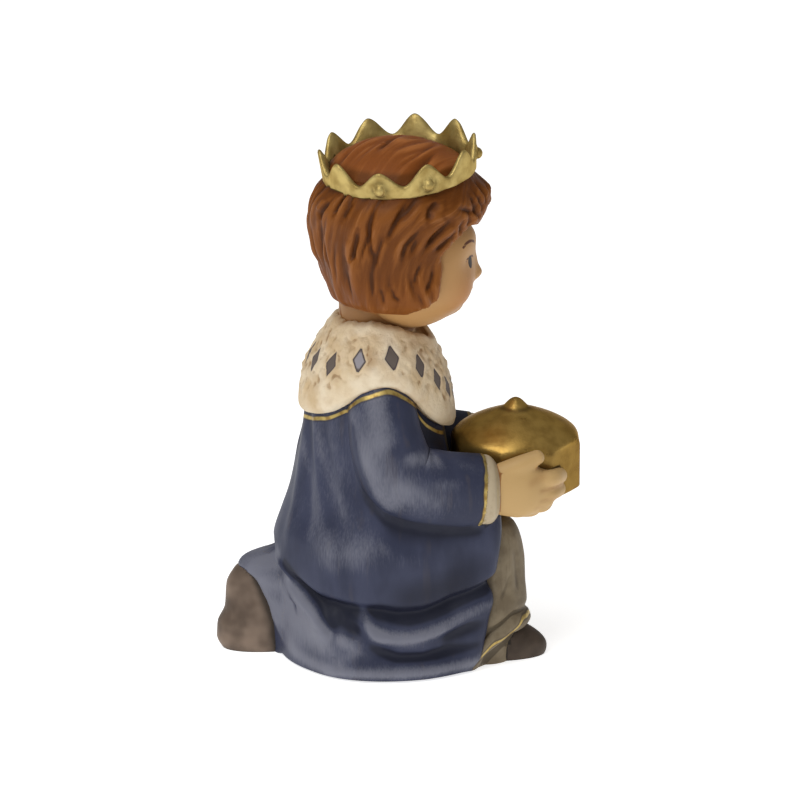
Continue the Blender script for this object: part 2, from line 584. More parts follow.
# arms and hands
arm = {
    "grids": {"sleeve": (80, 76), "cuff": (64, 26), "palm": (64, 48), "thumb": (32, 28), "finger": (28, 28)},
    "sleeve": [[-9.2, 0.4, 55.4], [-12.3, 0.1, 50.2], [-14, -0.7, 44], [-14.4, -3.6, 37.2],
               [-14.1, -9.4, 35], [-13.2, -17.4, 34.3]],
    "sleeveWide": [[0, 3.8], [0.2, 4.9], [0.6, 5.2], [1, 4.9]],
    "sleeveDeep": [[0, 5.2], [0.26, 6.3], [0.55, 7], [0.75, 7.3], [1, 6.8]],
    "mouth": 1.3,  # how far the sleeve's end bulges
    "sleeveTrim": 0.2,  # how far before its mouth the gold line starts
    "mouthWave": [(0.1, 5, 0), (0.06, 13, 0)],
    "cuff": [[-13.2, -15, 34.3], [-13.1, -18.4, 34.4]],
    "cuffWide": [[0, 4.6], [1, 4.6]],
    "cuffDeep": [[0, 6.5], [1, 6.5]],
    "cuffBulge": 3.1, "cuffCaps": 11,
    "cuffTrim": (0.8, 4.6, 0.12),  # share of the width where its gold line lies, half width, how much wider
    "palm": [[-12.9, -18.2, 34.2], [-13.2, -23.4, 34.2], [-11.6, -29.4, 33.5]],
    "palmWide": [[0, 2.5], [0.3, 2.9], [0.6, 3], [1, 2]],
    "palmDeep": [[0, 3.8], [0.3, 4.7], [0.55, 5.1], [1, 3.7]],
    "thumb": [[-12.9, -19.6, 35.8], [-13.4, -24.2, 38.5], [-12.7, -27.6, 40.1]],
    "thumbWide": [[0, 2.2], [0.7, 1.8], [1, 1.5]],
    "thumbDeep": [[0, 2.8], [0.7, 1.9], [1, 1.35]],
    "fingerWide": [[0, 1.6], [1, 1.45]],
    "fingerDeep": [[0, 1.9], [1, 1.6]],
    "knuckles": [[-13, -25.2, 36], [-13, -25.2, 33.5], [-12.6, -24.6, 31.5], [-12, -23.6, 30.6]],
    "bends": [[-12.6, -30, 36], [-12.3, -29.6, 33.2], [-11.7, -28.6, 31], [-11, -27.2, 30.2]],
    "tips": [[-9.6, -31.9, 35.4], [-9.4, -31.7, 33], [-8.9, -29.8, 31.2], [-8.3, -28, 30.5]],
    "leftMove": (0, 0.3, -0.9),
    # brown wash in the grooves beside the thumb and between the fingers: (strength, width, line of [y, z])
    "grooves": [(0.3, 0.8, [[-26.6, 36.2], [-28.4, 37]]), (0.45, 0.45, [[-28.4, 34.4], [-32.4, 34.3]]),
                (0.3, 0.45, [[-28.4, 32.3], [-31.2, 32.2]]), (0.2, 0.4, [[-27.4, 31], [-29, 30.8]])],
    # creases at the elbow: (degrees round it, share of its length, raise, spread in degrees, in share)
    "creases": [(250, 0.5, -0.55, 30, 0.022), (262, 0.55, 0.45, 34, 0.02), (240, 0.6, -0.45, 26, 0.02),
                (285, 0.64, 0.4, 30, 0.02), (230, 0.45, 0.35, 26, 0.02), (300, 0.7, -0.3, 26, 0.02),
                (30, 0.42, 0.25, 40, 0.06), (120, 0.62, 0.2, 40, 0.06)],
}


def sleeveSwell(turn, t):
    more = np.zeros_like(t)
    for at, share, lift, degrees, spread in arm["creases"]:
        off = degreesFrom(at, turn)
        more = more + lift * bell(off, degrees) * bell(t - share - 0.0009 * off, spread)
    return more


def sleeveMarks(turn, left, narrowed, points):
    # the gold line under the collar, and the one along the sleeve's mouth
    atMouth = left - arm["sleeveTrim"] + wavy(turn, *arm["mouthWave"])
    return {"lined": neckline(points), "trim": atMouth, "tone": brushwork(points)}


def cuffMarks(turn, left, narrowed, points):
    at, half, wider = arm["cuffTrim"]
    return {"trim": np.abs(narrowed - at) * half - wider}


def handMarks(turn, left, narrowed, points):
    washed = sum(strength * bell(nearLine(line, points[:, 1], points[:, 2])[0], width)
                 for strength, width, line in arm["grooves"])
    return {"tone": -washed}


def makeArms():
    def part(kind, paint, marks, path, label="Right", **more):
        return limb(kind + label, paint, path, arm[kind + "Wide"], arm[kind + "Deep"], arm["grids"][kind],
                    marks=marks, **more)

    pieces = [
        part("sleeve", "cloakBlue", sleeveMarks, arm["sleeve"], bulge=arm["mouth"], swell=sleeveSwell),
        part("cuff", "cuffCream", cuffMarks, arm["cuff"], bulge=arm["cuffBulge"], caps=arm["cuffCaps"]),
        part("palm", "skin", handMarks, arm["palm"]),
        part("thumb", "skin", handMarks, arm["thumb"]),
    ]
    for i, path in enumerate(zip(arm["knuckles"], arm["bends"], arm["tips"])):
        pieces.append(part("finger", "skin", handMarks, path, label=str(i)))
    for piece in pieces:
        mirrored(piece, piece.name + "Left", arm["leftMove"])


# fur collar
collar = {
    "axisY": -0.4,
    "hem": aroundThrough([0, 54.6], [20, 52.6], [40, 49.2], [60, 47.6], [90, 46.4], [120, 47.6],
                         [140, 49.2], [152, 51], [165, 53.4], [180, 54.8], [193, 53.4], [201, 51.6],
                         [210, 49], [221, 46.8], [233, 45.2], [270, 43.2], [307, 45.2], [319, 46.8],
                         [330, 49], [345, 53]),
    "rim": aroundThrough([0, 64.2], [90, 63.8], [180, 64.4], [212, 62.8], [235, 61], [270, 59.8],
                         [305, 61], [328, 62.8]),
    "diamonds": [(90, 56.6), (111, 56.8), (135, 57.4), (160.5, 59.1), (185, 59.7), (209, 57.4), (227, 54),
                 (243.5, 51.5), (261, 50), (279, 50), (296.5, 51.5), (313, 54), (331, 57.4), (355, 59.7),
                 (19.5, 59.1), (45, 57.4), (69, 56.8)],
    "paleDiamond": 3,
    "diamondSize": (1.4, 2.15),  # half width and half height
    "diamondRadius": 14.2, "diamondLean": 0.12,
    # how far the gold line is below the hem, how much more so at back and front, and again in front
    "goldBelow": (0.8, 0.4, 0.4),
    "goldWave": (0.08, 17, 0),
    "grid": (212, 84), "poles": (52, 61),
    # half widths to the right, left, front and back at the neck and where the roll is fullest
    "neck": (8.5, 8.5, 9.2, 7.7),
    "roll": (15.6, 15.6, 13.5, 14.6),
    # by steps over the roll: share of the way from rim to hem, and from the neck's reach to the roll's
    "steps": 10.6,
    "down": through([0, 1], [1, 1], [2.2, 0.93], [3.6, 0.8], [5, 0.64], [6.2, 0.46], [7.3, 0.3],
                    [8.4, 0.15], [9.4, 0.02], [10, 0], [10.6, 0.08]),
    "full": through([0, 0.5], [0.7, 0.76], [1.5, 0.93], [2.4, 1.02], [3.6, 1], [5, 0.92], [6.2, 0.78],
                    [7.3, 0.56], [8.4, 0.32], [9.3, 0.1], [10, -0.1], [10.6, -0.24]),
    "dent": (0.25, 1.5, 0.8),  # depth, step and width of the hollow under the roll
    "ragged": [(0.2, 5, 0), (0.16, 11, 40), (0.08, 29, 0)],  # unevenness of the rim
    # brown smudges: (degrees, height, strength, half width, half height)
    "smudges": [(169, 59.6, 1.0, 1.1, 1.9), (216, 58, 0.45, 2.6, 3)],
}


def neckline(points):
    # how far above the gold line under the collar's hem a point on the cloak is
    turn = np.degrees(np.arctan2(points[:, 1] - collar["axisY"], points[:, 0])) % 360
    fromSide = np.abs(degreesFrom(180, turn))
    fromSide = np.minimum(fromSide, 180 - fromSide)
    below, more, inFront = collar["goldBelow"]
    below = below + more * smooth(fromSide, 20, 34) + inFront * smooth(fromSide, 26, 42) * (turn > 180)
    return points[:, 2] - collar["hem"](turn) + below + wavy(turn, collar["goldWave"])


def fromDiamonds(turn, z):
    # how far outside the nearest diamond each place is, and which are inside the pale one
    width, height = collar["diamondSize"]
    away, pale = np.full(len(turn), 9.0), np.zeros(len(turn))
    for k, (at, level) in enumerate(collar["diamonds"]):
        lean = collar["diamondLean"] * math.sin(k * 2.1)
        off = np.radians(degreesFrom(at, turn)) * collar["diamondRadius"] + lean * (z - level)
        near = (np.abs(off) / width + np.abs(z - level) / height - 1) * 1.2
        away = np.minimum(away, near)
        if k == collar["paleDiamond"]:
            pale = np.where(near < 0, 1.0, pale)
    return away, pale


def furLumps(points, d):
    # tufts with finer lumps on them, calmer at the rim and under the roll
    tufted = 0.2 + 0.8 * smooth(d, 0.04, 0.2) * (1 - smooth(d, 0.62, 0.82))
    tufts = np.abs(grain(points, 2.6, 1)) * 1.1 - 0.3
    return (0.75 * tufts + 0.45 * grain(points, 1.1, 2)) * tufted


def smudged(turn, z, d):
    marks = [strength * bell((turn - at) * 0.25, width) * bell(z - level, height)
             for at, level, strength, width, height in collar["smudges"]]
    return sum(marks) + 0.8 * bell(d, 0.035)


def makeCollar():
    around, along = collar["grid"]
    depth, dentAt, dentWidth = collar["dent"]

    def place(turn, row):
        pole = atPole(row, along)
        step = np.clip((row - 1) / (along - 2), 0, 1) * collar["steps"]
        d = collar["down"](step)
        hem, rim = collar["hem"](turn), collar["rim"](turn)
        z = rim + wavy(turn, *collar["ragged"]) * (1 - smooth(d, 0, 0.1)) + (hem - rim) * d
        z = z - depth * bell(step - dentAt, dentWidth)
        neck, roll = ovalRadius(turn, *collar["neck"]), ovalRadius(turn, *collar["roll"])
        reach = mixed(neck, roll, collar["full"](step))
        lumps = furLumps(onAxis(0, collar["axisY"], turn, reach, z), d)
        away, pale = fromDiamonds(turn, z)
        away = np.where((row > along * 0.1) & (row < along * 0.9), away, 9)
        reach = reach + lumps * smooth(away, -0.2, 0.6) * smooth(d, -0.02, 0.1)
        reach = np.where(pole, 0, reach - 0.12 * (1 - smooth(away, -0.4, 0.25)))
        z = np.where(pole, np.where(row == 0, *collar["poles"]), z)
        marks = {"mark": away, "tone": pale - smudged(turn, z, d) * (away > 0)}
        return onAxis(0, collar["axisY"], turn, reach, z), marks

    ball("collarClay", "furCream", around, along, place)


# head
head = {
    "y": -5.4, "z": 72.6, "side": 12.6, "front": 12.0, "back": 11.0, "up": 14.0, "down": 11.0,
    "grid": (128, 96),
    # a calm child's face on plain proportions, the same on both sides:
    # (degrees to the side, degrees up, raise, half width, half height)
    "features": [(0, -6.5, 1.2, 7.5, 5.5), (0, 3, 0.45, 6, 9), (6.5, -8.5, 0.3, 4, 3.4),
                 (26, 10, -0.7, 12, 8), (38, -18, 0.9, 20, 15), (0, -20.3, 0.5, 9, 2.8),
                 (0, -25.8, 0.55, 8, 3.2), (0, -23, -0.4, 11, 1.2), (0, -40, 0.7, 14, 9),
                 (0, -50, 0.5, 18, 12), (0, 27, 1.1, 42, 12), (24, 9.5, 0.4, 8, 6)],
    "faceRadius": 12.2, "faceEdge": 75,
    "eye": (23.5, 9.0), "mouth": -23,  # degrees to the side and up
    "iris": (0.85, 1.2),  # half width and half height
    # height over the eye, bend and where it is highest, half thickness, middle and half length
    "lash": (1.05, 0.16, 0, 0.2, 0, 1.9),
    "brow": (3.7, 0.13, 0.3, 0.24, 0.2, 2.4),
    "lips": (0.55, 2.4),  # half height and half width
    "cheek": (7.2, -3.2, 4.2),  # place to the side and up, and width
    "neckY": 0.2, "neckRadius": 6.7, "neckLevels": [60, 60, 62, 64, 66, 68, 70, 70],
}


def paintedLine(dx, dy, name):
    level, bend, top, thick, middle, half = head[name]
    return np.maximum(np.abs(dy - level + bend * (dx - top) ** 2) - thick, np.abs(dx - middle) - half)


def faceMarks(faceward, lift):
    # how far each place is from the painted eyes, lashes, brows and lips, and how rosy it is
    radius = head["faceRadius"]
    x, y = np.radians(faceward) * radius * np.cos(np.radians(lift)), np.radians(lift) * radius
    eyeX, eyeY = np.radians(head["eye"]) * radius
    dx, dy = np.abs(x) - eyeX, y - eyeY
    wide, high = head["iris"]
    iris = (np.hypot(dx / wide, dy / high) - 1) * wide
    line = np.minimum(paintedLine(dx, dy, "lash"), paintedLine(dx, dy, "brow"))
    full, half = head["lips"]
    overMouth = y - math.radians(head["mouth"]) * radius - 0.1 * x * x + 0.1
    lips = np.maximum(np.abs(overMouth) - full * (1 - (x / 2.5) ** 2), np.abs(x) - half)
    cheekX, cheekY, cheekWidth = head["cheek"]
    rosy = 0.52 + 0.5 * bell(np.hypot(np.abs(x) - cheekX, y - cheekY), cheekWidth)
    inFace = np.abs(faceward) < head["faceEdge"]
    return {"mark": np.where(inFace, iris, 9), "line": np.where(inFace, line, 9),
            "lips": np.where(inFace, lips, 9), "warm": rosy}


def makeHead():
    around, along = head["grid"]

    def place(turn, row):
        # rows of vertices are closer together towards the face
        side = degreesFrom(270, turn) / 180
        faceward = 180 * np.sign(side) * np.abs(side) ** 1.25
        lift = (row / along - 0.5) * 180
        level = np.cos(np.radians(lift))
        angle = np.radians(270 + faceward)
        out = np.stack([level * np.cos(angle), level * np.sin(angle), np.sin(np.radians(lift))], axis=1)
        deep = np.where(out[:, 1] < 0, head["front"], head["back"])
        tall = np.where(out[:, 2] < 0, head["down"], head["up"])
        halves = np.stack([np.full_like(deep, head["side"]), deep, tall], axis=1)
        reach = 1 / np.linalg.norm(out / halves, axis=1)
        for atSide, atLift, lifted, width, height in head["features"]:
            for at in {atSide, -atSide}:
                reach = reach + lifted * bell(faceward - at, width) * bell(lift - atLift, height)
        return out * reach[:, None] + (0, head["y"], head["z"]), faceMarks(faceward, lift)

    ball("headClay", "skin", around, along, place)
    stacked("neckClay", "skin", 0, head["neckY"], head["neckLevels"], 56,
            lambda turn, z: head["neckRadius"] + wavy(turn, (0.1, 5, 0)))


# hair
hair = {
    "axisY": -3.6,
    "topZ": 96.3,
    "grid": (256, 124),
    "backReach": through([64.4, 8.8], [66, 10.5], [67.1, 11.3], [69.4, 12.3], [71.7, 13.2], [73.9, 13.9],
                         [76.2, 14.8], [78.4, 15.3], [80.7, 15.65], [82.9, 15.7], [85.1, 15.5], [86.6, 15],
                         [87.8, 14.1], [88.7, 13.3], [89.6, 12.9], [90.6, 12.7], [92.4, 11.4], [94, 9],
                         [95.4, 5.6], [96.3, 0]),
    "frontReach": through([64.4, 9.2], [67, 11.5], [74, 14.4], [79, 14.9], [81.2, 15.2], [83.4, 16],
                          [85.2, 16.2], [87, 15.7], [88, 14.9], [89, 14.2], [90.6, 13], [92.4, 11.5],
                          [94, 9], [95.4, 5.6], [96.3, 0]),
    "fringe": through([0, 83.4], [19, 82.9], [39, 81.3], [49, 80], [58, 78.6], [62, 77.6], [180, 77.6]),
    "faceEdge": through([66, 86], [67.2, 82], [68, 76], [69.1, 68], [70.7, 63], [73.1, 61.5], [75.3, 59.5],
                        [77.3, 60.5], [78.4, 62], [80, 76]),
    "hem": through([0, 67.5], [77, 67.4], [89, 66.9], [142, 66.9], [160, 66.4], [180, 65.5]),
    "fringeWave": [(0.5, 11, 0), (0.3, 23, 50)],
    "radius": 15,
    # how many there are, and the ranges that each one's place and form are drawn from
    "locks": {"count": 80, "across": (-56, 56), "level": (66, 89), "width": (0.8, 1.7), "half": (2.4, 6),
              "lean": (-0.14, 0.1), "lift": (0.25, 0.6)},
    "grooves": {"count": 170, "across": (-56, 56), "level": (65, 90), "width": (0.34, 0.6),
                "depth": (0.3, 0.85), "half": (1.3, 4), "lean": (-0.14, 0.1)},
    "curls": {"count": 26, "shift": (-3, 3), "level": (81, 88), "tilt": (-1.2, 1.2), "lift": (0.3, 0.65),
              "depth": (0.45, 0.9)},
    "waves": {"count": 17, "shift": (-0.5, 0.5), "width": (0.35, 0.8), "middle": (-6, 6), "half": (2.5, 6),
              "depth": (0.25, 0.6)},
    "swept": (0.62, 0.78),  # the way that the waves inside the crown run across
    # locks and notches that stand out among the strands, from the back to the front
    "folds": [
        ([[122, 87.2], [115, 85], [112, 83.3]], -1.0, 0.55), ([[117, 87.3], [111, 84.6]], 0.6, 0.8),
        ([[131, 88], [128, 85]], -0.6, 0.5), ([[142, 88], [136, 84.5]], -0.7, 0.5),
        ([[160, 88], [156, 84], [157, 80], [160, 77.5]], -0.8, 0.5),
        ([[149, 83.5], [146, 79.5], [147, 77]], -0.7, 0.5),
        ([[143, 81.5], [141, 78.5], [145, 76]], 0.6, 0.8),
        ([[184, 88.5], [177, 86.3], [171, 83.3], [168, 81.5]], -0.8, 0.5),
        ([[208, 88.3], [199, 86.8], [196, 85]], -0.9, 0.6),
        ([[213, 84.7], [202, 82.3], [197, 80.5]], -0.8, 0.5),
        ([[192, 84], [181, 80.7], [178, 78.3]], -0.7, 0.45),
        ([[219, 82.2], [209, 80.3], [202, 79.3]], -0.7, 0.45),
        ([[236, 88], [241, 84]], -1.0, 0.8), ([[229, 85.5], [233, 82]], -0.9, 0.7),
        ([[163, 72.7], [166, 69]], -0.5, 0.45), ([[171, 73], [173, 71], [178, 70]], -0.5, 0.45),
        ([[193, 77.4], [189, 75], [188, 73]], -0.6, 0.45),
        ([[202, 76.3], [200, 73.8], [195, 71.6]], -0.6, 0.45),
    ],
}


def combedAcross(turn, z):
    # a coordinate that stays the same along a strand: strands fall from the crown and sweep back
    # as they go down, most at the temples, and hang straight at the nape
    side = matchedTurn(turn)
    sweep = 3.4 * smooth(side, 92, 130) + 3.4 * smooth(side, 160, 190) + 6 * smooth(side, 186, 222)
    high = np.clip((z - 75) / 13, 0, 1.3)
    low = np.clip((77 - z) / 10, 0, 1)
    flick = (1.6 - 3.4 * smooth(side, 176, 196)) * low**2
    across = np.radians(side - 90) * hair["radius"] - sweep * high**1.35 + flick
    return np.where((turn > 90) & (turn < 270), across, -across)


def drawn(ranges, *names):
    return [random.uniform(*ranges[name]) for name in names]


def strandRelief(turn, z):
    # soft locks, and grooves with a raised edge beside each
    across = combedAcross(turn, z)
    locks, grooves = hair["locks"], hair["grooves"]
    height = np.zeros_like(z)
    for k in range(locks["count"]):
        at, level, width, half, lean, lift = drawn(locks, "across", "level", "width", "half", "lean", "lift")
        off = across - at - lean * (z - level)
        height = height + lift * bell(off, width) * bell(z - level, half)
    for k in range(grooves["count"]):
        at, level, width, depth, half, lean = drawn(grooves, "across", "level", "width", "depth", "half",
                                                    "lean")
        depth = depth * (0.5 + 0.5 * smooth(level, 69, 76))
        off = across - at - lean * (z - level) + 0.25 * np.sin((z - level) / 2.2 + k)
        height = height - depth * bell(off, width) * bell(z - level, half)
        height = height + 0.3 * depth * bell(off - 1.7 * width, 1.3 * width) * bell(z - level, half)
    return height


def fringeRelief(turn, z):
    # short tousled curls that turn aside
    curls = hair["curls"]
    height = np.zeros_like(z)
    for k in range(curls["count"]):
        shift, level, tilt, lift, depth = drawn(curls, "shift", "level", "tilt", "lift", "depth")
        at = 200 + 140 * (k + 0.5) / curls["count"] + shift
        off = np.radians(degreesFrom(at, turn)) * hair["radius"]
        a = off * math.cos(tilt) + (z - level) * math.sin(tilt)
        b = -off * math.sin(tilt) + (z - level) * math.cos(tilt)
        height = height + lift * bell(a, 1.0) * bell(b, 2.1) - depth * bell(a - 1.2, 0.5) * bell(b, 1.9)
    return height


def hairRelief(turn, z, fromFront):
    random.seed(11)
    strands, curls = strandRelief(turn, z), fringeRelief(turn, z)
    height = mixed(strands, 0.4 * strands + curls, 1 - smooth(fromFront, 45, 70))
    return height + foldsAt(hair["folds"], matchedTurn(turn), z, hair["radius"])[0]


def domeRelief(points):
    # inside the crown the hair is swept in a few shallow diagonal waves
    random.seed(3)
    waves, (c, s) = hair["waves"], hair["swept"]
    x, y = points[:, 0], points[:, 1] - hair["axisY"]
    u, v = c * x + s * y, -s * x + c * y
    height = np.zeros(len(points))
    for k in range(waves["count"]):
        shift, width, middle, half, depth = drawn(waves, "shift", "width", "middle", "half", "depth")
        bent = -12 + 24 * (k + 0.5) / waves["count"] + shift + 0.5 * np.sin(v / 3 + k)
        height -= depth * bell(u - bent, width) * bell(v - middle, half)
    return height


def hairReach(turn, z):
    fromFront = np.abs(degreesFrom(270, turn))
    towardsFront = (1 + np.cos(np.radians(fromFront))) / 2
    narrow = ovalRadius(turn, 0.955, 0.955, 1.0, 1.0)
    return mixed(hair["backReach"](z), hair["frontReach"](z), towardsFront) * narrow


def insideFace(fromFront, z):
    # how far inside the fringe and the edge beside the face each place is
    uneven = wavy(fromFront, *hair["fringeWave"]) * (1 - smooth(fromFront, 40, 60))
    underFringe = hair["fringe"](fromFront) + uneven - z
    return np.minimum(underFringe, (hair["faceEdge"](z) - fromFront) * 0.24)


def makeHair():
    around, along = hair["grid"]

    def place(turn, row):
        fromFront = np.abs(degreesFrom(270, turn))
        pole = atPole(row, along)
        share = np.interp(row, [0, 1, along * 0.5, along * 0.8, along], [0, 0, 0.62, 0.9, 1])
        hem = hair["hem"](fromFront)
        z = np.where(row == 0, 68, hem + (hair["topZ"] - hem) * share)
        thick = hairReach(turn, z)
        dome = domeRelief(onAxis(0, hair["axisY"], turn, thick, z)) * smooth(z, 90.4, 91.6)
        relief = hairRelief(turn, z, fromFront) * (1 - smooth(z, 90, 91.5))
        relief = relief * smooth(z, hem - 0.5, hem + 1.5) * (1 - 0.6 * smooth(z, 87.5, 89.5))
        full = 1.9 * bell(fromFront - 68, 20) * bell(z - 70, 5)
        full = full + 0.7 * bell(z - 69, 4) * smooth(fromFront, 50, 80) * (1 - smooth(fromFront, 115, 155))
        inFace = insideFace(fromFront, z)
        reach = thick + relief + full - 0.5 * bell(z - hem, 0.8)
        reach = reach - 2.6 * smooth(inFace, -0.5, 0.5) - 3 * smooth(inFace, 0.3, 2.5)
        c, s = hair["swept"]
        swept = thick * (c * np.cos(np.radians(turn)) + s * np.sin(np.radians(turn)))
        combed = np.where(z < 91, combedAcross(turn, z), 0.6 * swept)
        z = np.where(pole, z, z + dome)
        return onAxis(0, hair["axisY"], turn, np.where(pole, 0, reach), z), {"combed": combed}

    ball("hairClay", "hairBrown", around, along, place)


# crown
crown = {
    "radius": 13.8, "wall": 1.4, "valley": 2.1, "height": 5.6, "points": 10,
    "worn": 7, "wornBy": 0.7,  # this point is rubbed lower than the rest
    "noStud": (5, 6, 9),  # points whose studs have been rubbed away
    "tiltBack": 5.35, "tiltRight": 4.2, "foot": (0.4, -3.95, 90.0),
    # [share of the wall from outside to inside, height share, outward lean]
    "section": [(0.02, 0.02, 0), (0, 0.12, 0.02), (0, 0.4, 0.15), (0, 0.72, 0.32), (0.02, 0.93, 0.43),
                (0.14, 1.01, 0.46), (0.4, 1.04, 0.44), (0.62, 1.0, 0.34), (0.8, 0.86, 0.2),
                (0.93, 0.66, 0.02), (1, 0.45, -0.12), (1.02, 0.24, -0.1), (1, 0.06, 0), (0.9, 0, 0),
                (0.5, 0, 0), (0.1, 0, 0)],
    "facesAround": 260,
    "thinned": 0.68,  # share of the wall that is left at the peaks
    "ridge": 0.75,  # how far the inside bulges below each peak
    "uneven": [(0.05, 7, 0), (0.04, 19, 0)],
    "studRadius": 1.16, "studLevel": 0.9, "studOut": 0.08,  # the level is a share of the valley's height
    "ring": (1.3, 0.5),  # radius and width of the dark ring round each stud
}


def tilted(points):
    roll, back = math.radians(-crown["tiltRight"]), math.radians(-crown["tiltBack"])
    aboutY = np.array([[math.cos(roll), 0, math.sin(roll)], [0, 1, 0], [-math.sin(roll), 0, math.cos(roll)]])
    aboutX = np.array([[1, 0, 0], [0, math.cos(back), -math.sin(back)], [0, math.sin(back), math.cos(back)]])
    return points @ (aboutX @ aboutY).T + np.array(crown["foot"])


def studPlaces():
    pitch = 360 / crown["points"]
    return {k: 270 + k * pitch for k in range(crown["points"]) if k not in crown["noStud"]}


def studRings(turn, height):
    radius, width = crown["ring"]
    over = height - crown["valley"] * crown["studLevel"]
    across = [np.radians(degreesFrom(at, turn)) * crown["radius"] for at in studPlaces().values()]
    return sum(bell(np.hypot(off, over) - radius, width) for off in across)


def makeBand():
    section = np.array(crown["section"], float)
    bpy.ops.mesh.primitive_torus_add(major_segments=crown["facesAround"], minor_segments=len(section),
                                     major_radius=1, minor_radius=0.3)
    shape = bpy.context.object
    co = coordinates(shape.data)
    turn = np.degrees(np.arctan2(co[:, 1], co[:, 0])) % 360
    outward = np.hypot(co[:, 0], co[:, 1]) - 1
    slot = np.round(np.degrees(np.arctan2(co[:, 2], outward)) % 360 / 360 * len(section)).astype(int)
    inward, up, lean = section[slot % len(section)].T
    place = (turn - 270) / 360 * crown["points"]
    tip = 1 - 2 * np.abs(np.mod(place + 0.5, 1) - 0.5)
    peak = mixed(tip, smooth(tip, 0, 1), 0.92)
    wall = crown["wall"] * mixed(1, crown["thinned"], peak * np.clip(up, 0, 1))
    wall = wall + crown["ridge"] * tip * np.clip(1 - up, 0, 1) * (inward > 0.5)
    radius = crown["radius"] + lean * (0.3 + 0.7 * peak) - inward * wall
    worn = np.round(place) % crown["points"] == crown["worn"]
    tallest = crown["height"] - np.where(worn, crown["wornBy"], 0)
    height = up * mixed(crown["valley"], tallest, peak) + wavy(turn, *crown["uneven"]) * (up < 0.5)
    tone = -0.7 * studRings(turn, height) * (inward < 0.3)
    asPiece(shape, "crownBand", "crownGold", tilted(onAxis(0, 0, turn, radius, height)), {"tone": tone})


def makeCrown():
    makeBand()
    reach, level = crown["radius"] + crown["studOut"], crown["valley"] * crown["studLevel"]
    for k, at in studPlaces().items():
        bpy.ops.mesh.primitive_uv_sphere_add(segments=20, ring_count=12, radius=1, calc_uvs=False)
        stud = bpy.context.object
        centre = onAxis(0, 0, np.array([at]), reach, np.array([level]))
        points = coordinates(stud.data) * crown["studRadius"] + centre
        asPiece(stud, "stud" + str(k), "crownGold", tilted(points))


# golden box
box = {
    "y": -24.9, "radius": 12.0, "sides": 8,
    "cornerAt": 208,
    "facesAround": 128,
    # heights of its rows, close together at the foot and over the lid
    "levels": np.concatenate([[30.5, 30.5, 30.65, 30.9, 31.2, 31.5], np.linspace(32, 39, 10),
                              np.linspace(39.3, 42, 12), np.linspace(42.2, 45, 12),
                              np.linspace(45.15, 47.4, 17)]),
    "profile": through([30.5, 0.86], [30.9, 0.95], [31.5, 1], [39.4, 1.0], [40.3, 0.985], [41, 0.95],
                       [41.8, 0.875], [43.1, 0.69], [44.2, 0.48], [45, 0.31], [45.5, 0.215], [46.2, 0.155],
                       [46.8, 0.105], [47.2, 0.055], [47.4, 0.01]),
}


def makeBox():
    levels, side = box["levels"], 360 / box["sides"]
    last = len(levels) - 1

    def place(turn, row):
        z = levels[np.clip(row, 0, last).astype(int)]
        share = np.where(atPole(row, last), 0, box["profile"](z))
        corner = np.mod(turn - box["cornerAt"], side) - side / 2
        flat = math.cos(math.radians(side / 2)) / np.cos(np.radians(corner))
        soft = mixed(0.97, flat, 0.75 * (1 - 0.95 * smooth(z, 39, 41.2)))
        points = onAxis(0, box["y"], turn, box["radius"] * share * soft, z)
        return points, {"tone": -0.5 * (1 - smooth(z, 39.4, 40.8))}

    ball("boxClay", "boxGold", box["facesAround"], last, place)


# shoes
shoes = {
    "grid": (72, 44),
    "frontAt": (-4.9, -20.4, 1.5), "frontHalf": (4.5, 10, 5),  # half width, half length and depth
    "frontTop": through([-1, 4.8], [-0.3, 6.4], [1, 8]),  # from toe to heel
    "frontTone": -0.5,
    "rearY": 20.4, "rearForward": 5.0,
    "rearSole": through([-1.5, 6.8], [0, 7.9], [2, 8.9], [4.4, 8.8], [7.8, 7.4], [12, 7.1], [15, 5.6],
                        [16, 4.4]),
    "rearHalf": through([-1.5, 3.6], [0, 4.1], [2, 4.5], [5, 4.5], [10, 3.9], [16, 3.2]),
    "rearLevels": [belowFloor, belowFloor, *np.linspace(-0.6, 15.6, 40), 16, 16.2],
}


def makeShoes():
    around, along = shoes["grid"]
    x, y, z = shoes["frontAt"]
    halfWide, halfLong, under = shoes["frontHalf"]

    def frontPlace(turn, row):
        lift = np.radians((row / along - 0.5) * 180)
        level = np.cos(lift) ** 0.8
        across, back = level * np.cos(np.radians(turn)), level * np.sin(np.radians(turn))
        high = np.where(lift < 0, under, shoes["frontTop"](back) - 0.9)
        points = np.stack([x + halfWide * across, y + halfLong * back, z + np.sin(lift) * high], axis=1)
        return points, {"tone": np.full(len(points), shoes["frontTone"])}

    def rearOutline(turn, z):
        half = shoes["rearHalf"](z)
        return ovalRadius(turn, half, half, shoes["rearForward"], shoes["rearSole"](z), 2.3)

    ball("shoeFront", "shoeBrown", around, along, frontPlace)
    rearX = tail["heel"][0]
    stacked("shoeBack", "shoeBrown", rearX, shoes["rearY"], shoes["rearLevels"], around, rearOutline)


# paints
class Value:
    # a socket of a shader tree, so that sums on it read as sums
    def __init__(self, paint, socket):
        self.paint, self.socket = paint, socket

    def worked(self, operation, *values):
        return self.paint.node("ShaderNodeMath", {"operation": operation}, dict(enumerate(values)))

    def __add__(self, other):
        return self.worked("ADD", self, other)

    def __radd__(self, other):
        return self.worked("ADD", other, self)

    def __sub__(self, other):
        return self.worked("SUBTRACT", self, other)

    def __rsub__(self, other):
        return self.worked("SUBTRACT", other, self)

    def __mul__(self, other):
        return self.worked("MULTIPLY", self, other)

    def __rmul__(self, other):
        return self.worked("MULTIPLY", other, self)


